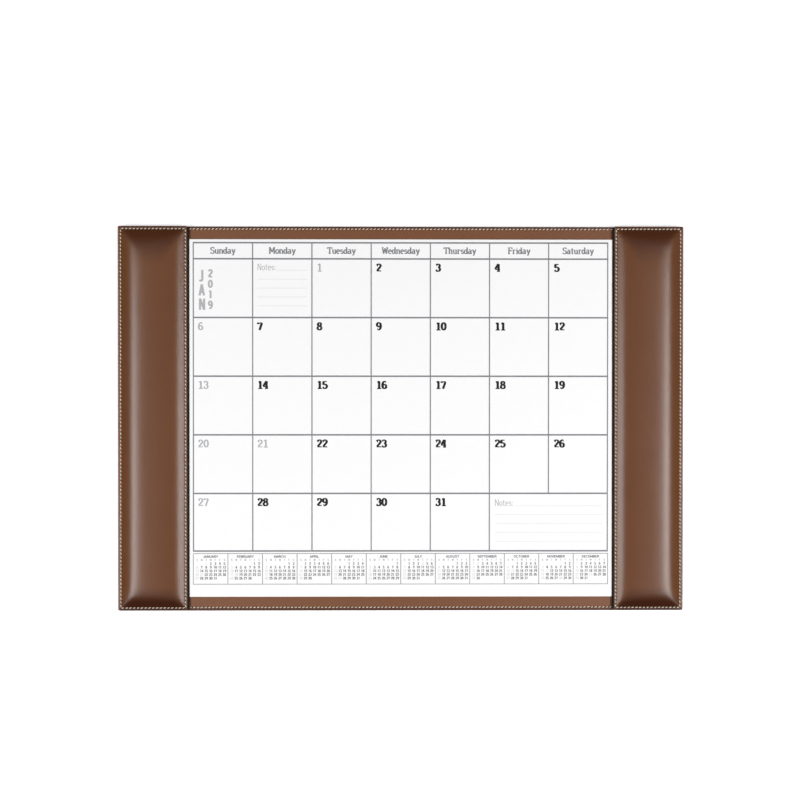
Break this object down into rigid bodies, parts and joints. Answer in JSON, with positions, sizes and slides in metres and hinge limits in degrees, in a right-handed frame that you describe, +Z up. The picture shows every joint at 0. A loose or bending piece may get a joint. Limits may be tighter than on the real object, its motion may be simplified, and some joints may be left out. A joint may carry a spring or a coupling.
{
  "type": "desk pad calendar",
  "caption": "Leather-covered desk pad with two padded, stitched side rails that hold the tucked side edges of a large monthly calendar pad.",
  "frame": {"origin": "middle of the underside, on the plane of the desk", "axes": "+X to the reader's right along the long side, +Y to the head of the calendar, +Z up off the desk"},
  "size_m": [0.6478, 0.4404, 0.0176],
  "materials": {
    "rail_leather": "smooth semi-gloss brown leather, fine grain",
    "base_leather": "smooth brown leather, fine grain",
    "lining": "thin dark brown lining cloth",
    "felt": "dark pressed felt",
    "grey_board": "dense grey board",
    "chipboard": "uncoated chipboard",
    "foam": null,
    "thread": "cream twisted thread",
    "paper": "bright white uncoated paper with black day numbers",
    "gum": "dried padding gum",
    "ink": "flat grey printing ink on paper"
  },
  "bodies": {
    "root": {"felt_backing": "felt", "base_board": "grey_board", "base_cover": "base_leather", "base_head_stitching": "thread", "base_foot_stitching": "thread", "calendar_backing_board": "chipboard", "calendar_pages": "paper", "pad_gum": "gum", "month_grid_print": "ink", "year_strip_print": "ink", "left_rail_spacer": "base_leather", "left_rail_lining": "lining", "left_rail_board": "grey_board", "left_rail_foam": "foam", "left_rail_cover": "rail_leather", "left_rail_stitching": "thread", "right_rail_spacer": "base_leather", "right_rail_lining": "lining", "right_rail_board": "grey_board", "right_rail_foam": "foam", "right_rail_cover": "rail_leather", "right_rail_stitching": "thread"}
  },
  "joints": []
}
